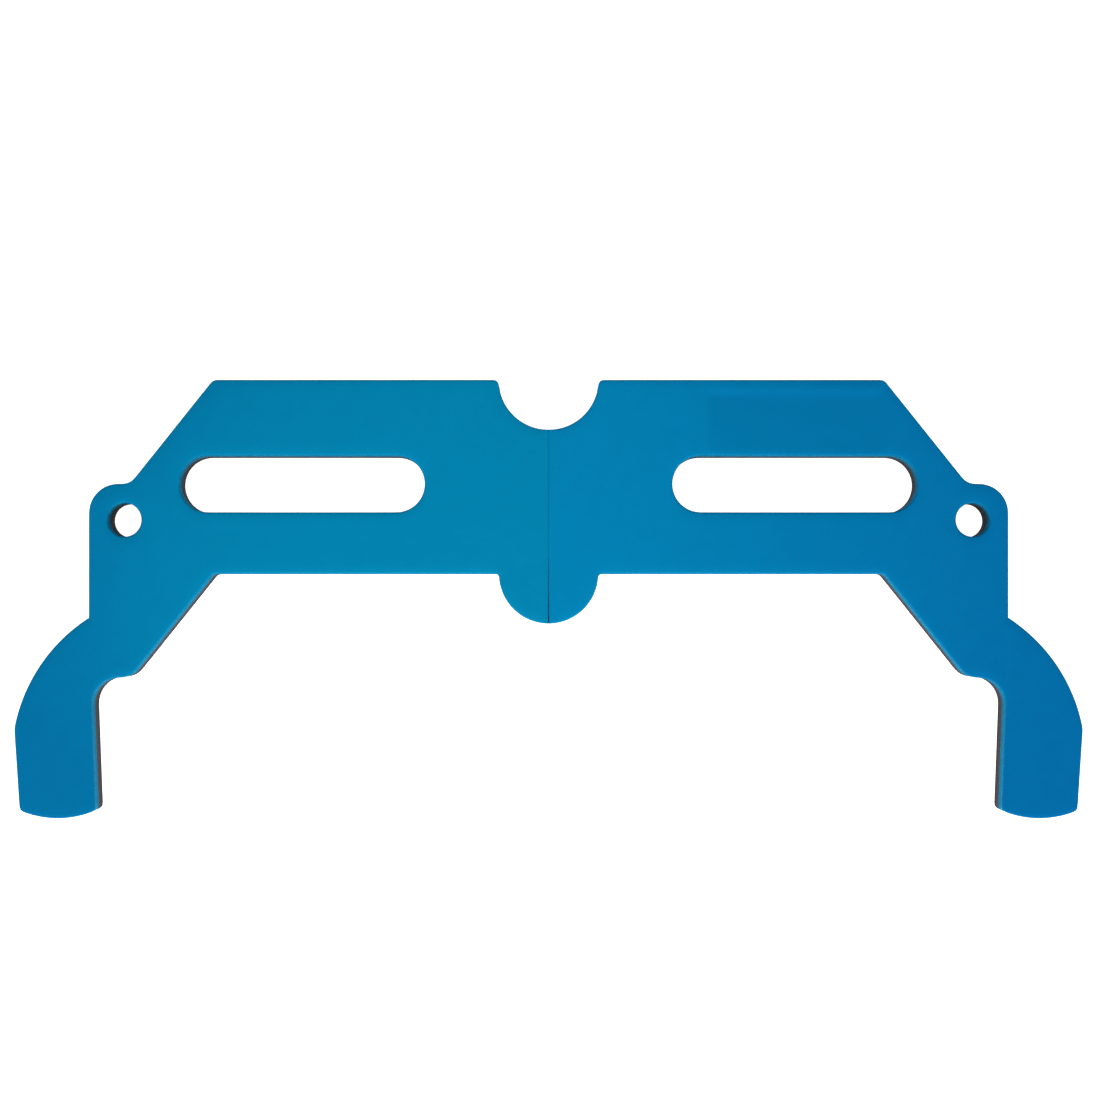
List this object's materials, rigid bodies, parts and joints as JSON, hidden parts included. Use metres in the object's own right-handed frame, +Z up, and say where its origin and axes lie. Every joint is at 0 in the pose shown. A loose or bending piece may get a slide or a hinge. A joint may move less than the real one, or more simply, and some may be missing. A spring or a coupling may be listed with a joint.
{
  "type": "folding kickboard float",
  "caption": "Arch-shaped foam board in bonded sheets that folds in half, with long hand slots, round lug holes and curved legs.",
  "frame": {"origin": "on the floor under the middle of the board, on the fold line, with the board lying open on its back", "axes": "+X along the width towards the half with the pressed panel, +Y in the plane of the board towards the straight top edge with the notch, +Z up through the sheets from the charcoal back to the blue front"},
  "size_m": [0.5998, 0.2462, 0.024],
  "materials": {
    "front_foam": "blue closed-cell foam with a fine matt skin",
    "back_foam": "charcoal closed-cell foam, matt, open cells on its cut walls"
  },
  "bodies": {
    "left_half": {"left_front_layer": "front_foam", "left_back_layer": "back_foam", "hinge_web": "front_foam"},
    "right_half": {"right_front_layer": "front_foam", "right_back_layer": "back_foam"}
  },
  "joints": [
    {"name": "fold", "type": "hinge", "parent": "left_half", "child": "right_half", "pos_m": [0, 0.055, 0.02415], "axis": [0, -1, 0], "range_deg": [0, 180], "deforming": ["hinge_web"]}
  ]
}
